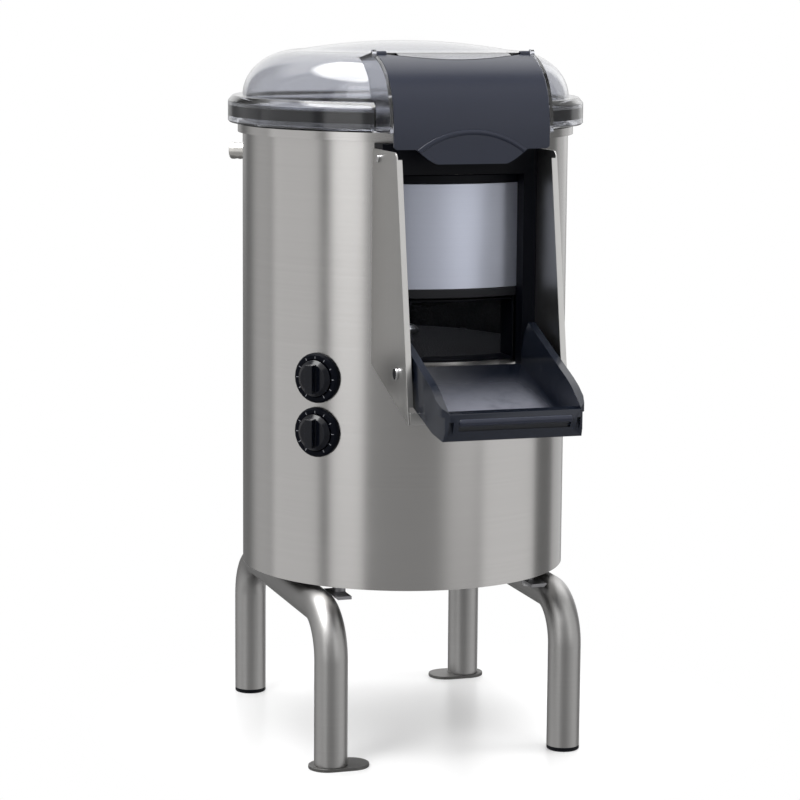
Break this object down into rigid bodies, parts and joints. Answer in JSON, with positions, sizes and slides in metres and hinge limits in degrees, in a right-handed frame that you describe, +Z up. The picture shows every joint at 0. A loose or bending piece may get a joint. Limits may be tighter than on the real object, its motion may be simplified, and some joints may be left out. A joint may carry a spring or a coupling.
{
  "type": "potato peeler machine",
  "caption": "Floor-standing steel drum peeler with a domed clear lid, feed flap, front outlet with a lifting door and a hinged scoop tray, on bent-tube legs.",
  "frame": {"origin": "on the floor, under the middle of the machine's overall footprint", "axes": "+Z up, -Y towards the outlet and tray at the front, +X to the right-hand side seen from the front"},
  "size_m": [0.436, 0.625, 0.855],
  "materials": {
    "body_steel": "brushed around the body",
    "leg_steel": "satin tube",
    "cheek_steel": "brushed sheet",
    "door_steel": "bright brushed sheet",
    "inner_steel": "plain sheet",
    "bright_steel": "polished",
    "tray_plastic": "dark satin",
    "flap_plastic": "dark slate blue satin",
    "black_plastic": "satin",
    "knob_plastic": "glossy",
    "lid_clear": "clear with a smoky tint",
    "rubber": "matt",
    "abrasive": "coarse grit",
    "cast_aluminium": "as cast",
    "motor_paint": "satin",
    "brass": "nickel plated"
  },
  "bodies": {
    "machine": {"abrasive_lining": "abrasive", "base_plate": "body_steel", "bearing_housing": "cast_aluminium", "bearing_lower": "bright_steel", "bearing_upper": "bright_steel", "body_shell": "body_steel", "cable_gland": "black_plastic", "cheek_left": "cheek_steel", "cheek_right": "cheek_steel", "cheek_screw_left": "bright_steel", "cheek_screw_right": "bright_steel", "drain_pipe": "black_plastic", "drive_belt": "rubber", "drum_deck": "inner_steel", "foot_cap_front_right": "black_plastic", "foot_cap_rear_left": "black_plastic", "foot_plate_front_left": "leg_steel", "foot_plate_rear_right": "leg_steel", "frame_bolt_front_left": "bright_steel", "frame_bolt_front_right": "bright_steel", "frame_bolt_rear_left": "bright_steel", "frame_bolt_rear_right": "bright_steel", "frame_bracket_front_left": "inner_steel", "frame_bracket_front_right": "inner_steel", "frame_bracket_rear_left": "inner_steel", "frame_bracket_rear_right": "inner_steel", "leg_frame_left": "leg_steel", "leg_frame_right": "leg_steel", "motor": "motor_paint", "motor_bracket": "inner_steel", "outlet_frame": "black_plastic", "outlet_neck": "black_plastic", "peeling_drum": "inner_steel", "shaft_seal": "rubber", "switch_bezel": "black_plastic", "switch_case": "black_plastic", "timer_bezel": "black_plastic", "timer_case": "black_plastic", "top_rim": "body_steel", "tray_pivot_bolt_left": "bright_steel", "tray_pivot_bolt_right": "bright_steel", "tray_rest_bar": "cheek_steel", "water_inlet": "brass"},
    "spindle": {"drive_shaft": "bright_steel", "drive_pulley": "cast_aluminium", "abrasive_disc": "abrasive", "disc_cap": "cast_aluminium"},
    "motor_rotor": {"motor_shaft": "bright_steel", "motor_pulley": "cast_aluminium"},
    "timer_dial": {"timer_knob": "knob_plastic"},
    "switch_dial": {"switch_knob": "knob_plastic"},
    "outlet_shutter": {"outlet_door": "door_steel", "outlet_door_edge": "rubber", "outlet_door_grip": "black_plastic"},
    "tray": {"discharge_tray": "tray_plastic"},
    "lid": {"lid": "lid_clear", "lid_gasket": "rubber", "flap_hinge_pin_left": "bright_steel", "flap_hinge_pin_right": "bright_steel"},
    "flap": {"feed_flap": "flap_plastic"}
  },
  "joints": [
    {"name": "disc_spin", "type": "hinge", "parent": "machine", "child": "spindle", "pos_m": [0, 0.0945, 0.42], "axis": [0, 0, 1], "continuous": true},
    {"name": "motor_spin", "type": "hinge", "parent": "machine", "child": "motor_rotor", "pos_m": [0, 0.2025, 0.36], "axis": [0, 0, 1], "continuous": true},
    {"name": "timer_turn", "type": "hinge", "parent": "machine", "child": "timer_dial", "pos_m": [-0.15428, -0.042, 0.4615], "axis": [0.749, 0.6626, 0], "range_deg": [0, 300]},
    {"name": "switch_turn", "type": "hinge", "parent": "machine", "child": "switch_dial", "pos_m": [-0.15428, -0.042, 0.3965], "axis": [0.749, 0.6626, 0], "range_deg": [0, 90]},
    {"name": "door_lift", "type": "slide", "parent": "machine", "child": "outlet_shutter", "axis": [0, 0, 1], "range_m": [-0.076, 0]},
    {"name": "tray_tilt", "type": "hinge", "parent": "machine", "child": "tray", "pos_m": [0, -0.1815, 0.484], "axis": [-1, 0, 0], "range_deg": [0, 104]},
    {"name": "lid_lift", "type": "slide", "parent": "machine", "child": "lid", "axis": [0, 0, 1], "range_m": [0, 0.2]},
    {"name": "flap_lift", "type": "hinge", "parent": "lid", "child": "flap", "pos_m": [0, -0.084, 0.843], "axis": [-1, 0, 0], "range_deg": [0, 95]}
  ],
  "couplings": [
    {"joint": "motor_spin", "follows": "disc_spin", "ratio": 3}
  ]
}
